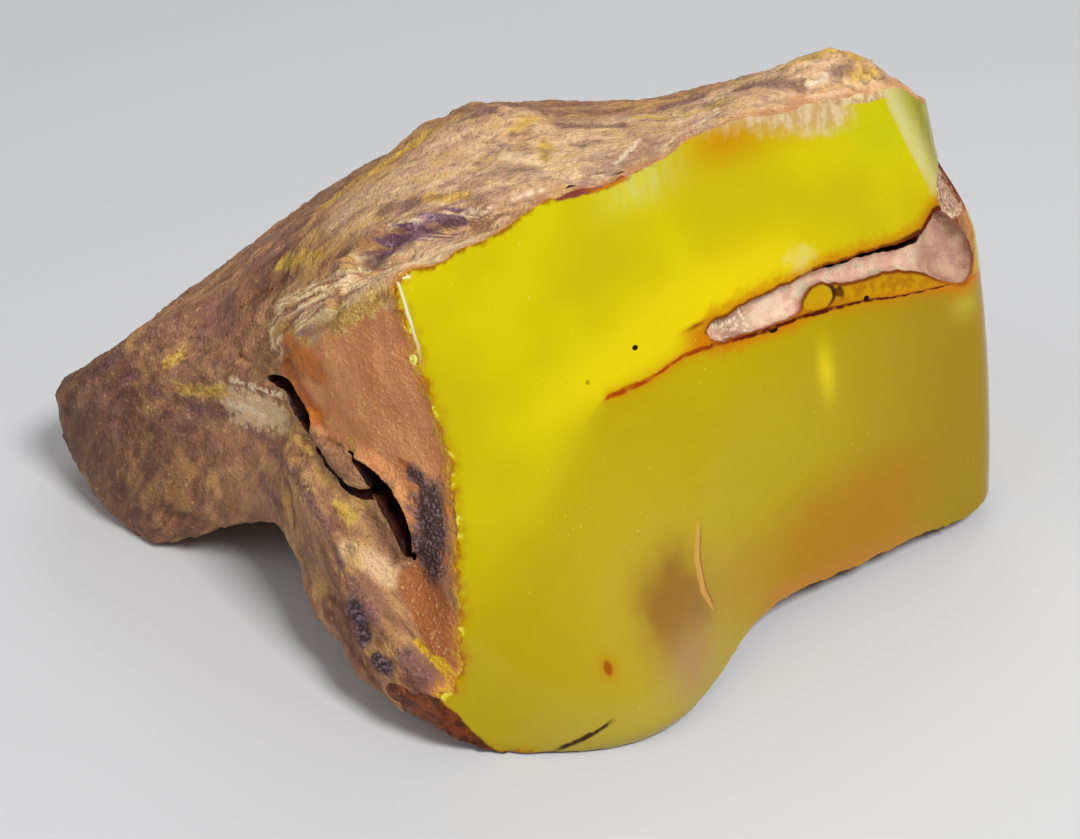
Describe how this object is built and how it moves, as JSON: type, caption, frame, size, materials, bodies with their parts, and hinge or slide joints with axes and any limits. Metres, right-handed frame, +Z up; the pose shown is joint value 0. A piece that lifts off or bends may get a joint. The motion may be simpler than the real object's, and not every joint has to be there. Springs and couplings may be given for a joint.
{
  "type": "raw amber piece",
  "caption": "Lump of raw cloudy amber in a rough weathered rind, with one face ground and polished to a window and an open crack running into it.",
  "frame": {"origin": "on the ground, under the middle of the bounding box", "axes": "+X along the lump's length, from the tail to the window's right edge; +Z up from the ground it rests on; -Y is the front, where the polished window faces"},
  "size_m": [0.0942, 0.0646, 0.0472],
  "materials": {
    "amber": "cloudy yellow amber, polished on the window, matt brown rind elsewhere"
  },
  "bodies": {
    "root": {"raw_amber": "amber"}
  },
  "joints": []
}
